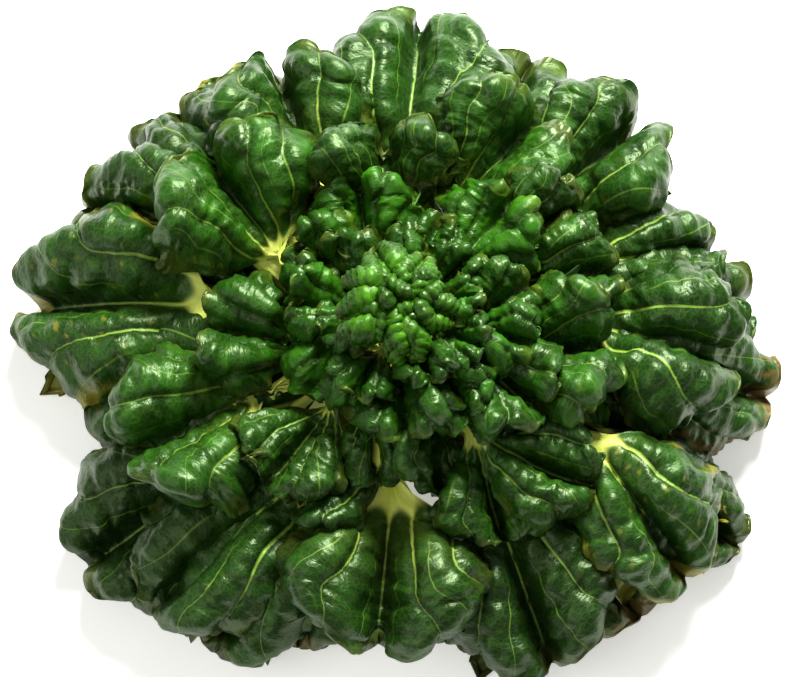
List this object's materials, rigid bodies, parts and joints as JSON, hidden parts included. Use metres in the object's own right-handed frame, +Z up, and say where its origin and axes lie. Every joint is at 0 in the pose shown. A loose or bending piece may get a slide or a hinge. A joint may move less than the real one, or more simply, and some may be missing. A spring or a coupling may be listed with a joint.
{
  "type": "head of tatsoi",
  "caption": "Flat rosette of glossy, puffed spoon-shaped leaves on a short cut stem, with a crinkled heart.",
  "frame": {"origin": "centre of the stem's cut face, which lies on the table", "axes": "+Z up out of the rosette; +X to the right and +Y away, as the head is usually looked down on"},
  "size_m": [0.2995, 0.271, 0.1028],
  "materials": {
    "outer_leaf": "glossy waxy leaf, dark blue-green, with pale yellow-green veins and petiole",
    "middle_leaf": "glossy waxy leaf, deep green, with pale yellow-green veins and petiole",
    "inner_leaf": "glossy crinkled young leaf, mid green, with yellow-green veins and petiole",
    "heart_leaf": "glossy crinkled unopened leaf, yellow-green",
    "cut_stem": "moist cut stem, pale greenish cream"
  },
  "bodies": {
    "root": {"crown_stem": "cut_stem", "heart_bud": "heart_leaf", "inner_leaf_01": "inner_leaf", "inner_leaf_02": "inner_leaf", "inner_leaf_03": "inner_leaf", "inner_leaf_04": "inner_leaf", "inner_leaf_05": "inner_leaf", "inner_leaf_06": "inner_leaf", "inner_leaf_07": "inner_leaf", "inner_leaf_08": "inner_leaf", "inner_leaf_09": "inner_leaf", "inner_leaf_10": "inner_leaf", "inner_leaf_11": "inner_leaf", "inner_leaf_12": "inner_leaf", "inner_leaf_13": "inner_leaf", "inner_leaf_14": "inner_leaf", "inner_leaf_15": "inner_leaf", "inner_leaf_16": "inner_leaf", "inner_leaf_17": "inner_leaf", "inner_leaf_18": "inner_leaf", "inner_leaf_19": "inner_leaf", "middle_leaf_01": "middle_leaf", "middle_leaf_02": "middle_leaf", "middle_leaf_03": "middle_leaf", "middle_leaf_04": "middle_leaf", "middle_leaf_05": "middle_leaf", "middle_leaf_06": "middle_leaf", "middle_leaf_07": "middle_leaf", "middle_leaf_08": "middle_leaf", "middle_leaf_09": "middle_leaf", "middle_leaf_10": "middle_leaf", "middle_leaf_11": "middle_leaf", "middle_leaf_12": "middle_leaf", "middle_leaf_13": "middle_leaf", "outer_leaf_01": "outer_leaf", "outer_leaf_02": "outer_leaf", "outer_leaf_03": "outer_leaf", "outer_leaf_04": "outer_leaf", "outer_leaf_05": "outer_leaf", "outer_leaf_06": "outer_leaf", "outer_leaf_07": "outer_leaf", "outer_leaf_08": "outer_leaf", "outer_leaf_09": "outer_leaf", "outer_leaf_10": "outer_leaf", "outer_leaf_11": "outer_leaf", "outer_leaf_12": "outer_leaf", "outer_leaf_13": "outer_leaf", "outer_leaf_14": "outer_leaf", "outer_leaf_15": "outer_leaf", "outer_leaf_16": "outer_leaf", "outer_leaf_17": "outer_leaf", "outer_leaf_18": "outer_leaf", "outer_leaf_19": "outer_leaf", "outer_leaf_20": "outer_leaf", "outer_leaf_21": "outer_leaf", "outer_leaf_22": "outer_leaf", "outer_leaf_23": "outer_leaf", "outer_leaf_24": "outer_leaf", "outer_leaf_25": "outer_leaf"}
  },
  "joints": []
}
